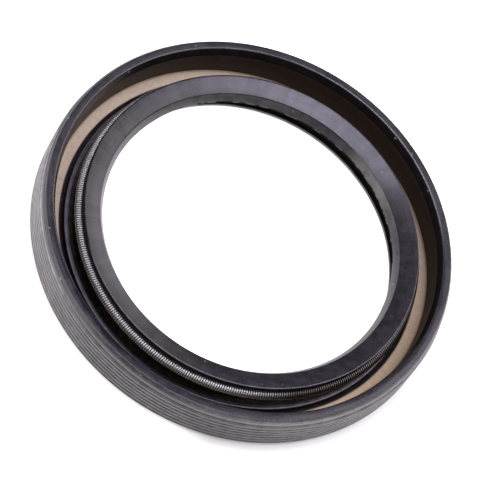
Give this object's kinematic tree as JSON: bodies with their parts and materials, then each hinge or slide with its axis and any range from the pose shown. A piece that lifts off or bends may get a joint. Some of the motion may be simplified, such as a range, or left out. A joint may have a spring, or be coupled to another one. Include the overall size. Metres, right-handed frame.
{
  "type": "radial shaft seal",
  "caption": "Rubber-covered rotary shaft seal: ribbed jacket moulded round an L-shaped steel case, with an inner lip held in by a garter spring.",
  "frame": {"origin": "centre of the closed back face, on the shaft axis", "axes": "+Z along the shaft axis towards the open side with the garter spring"},
  "size_m": [0.068, 0.068, 0.008],
  "materials": {
    "coated_steel": "thin matt bonding coat",
    "nitrile_rubber": "moulded, satin",
    "spring_steel": "bright drawn wire"
  },
  "bodies": {
    "root": {"case_ring": "coated_steel", "seal_body": "nitrile_rubber", "garter_spring": "spring_steel"}
  },
  "joints": []
}
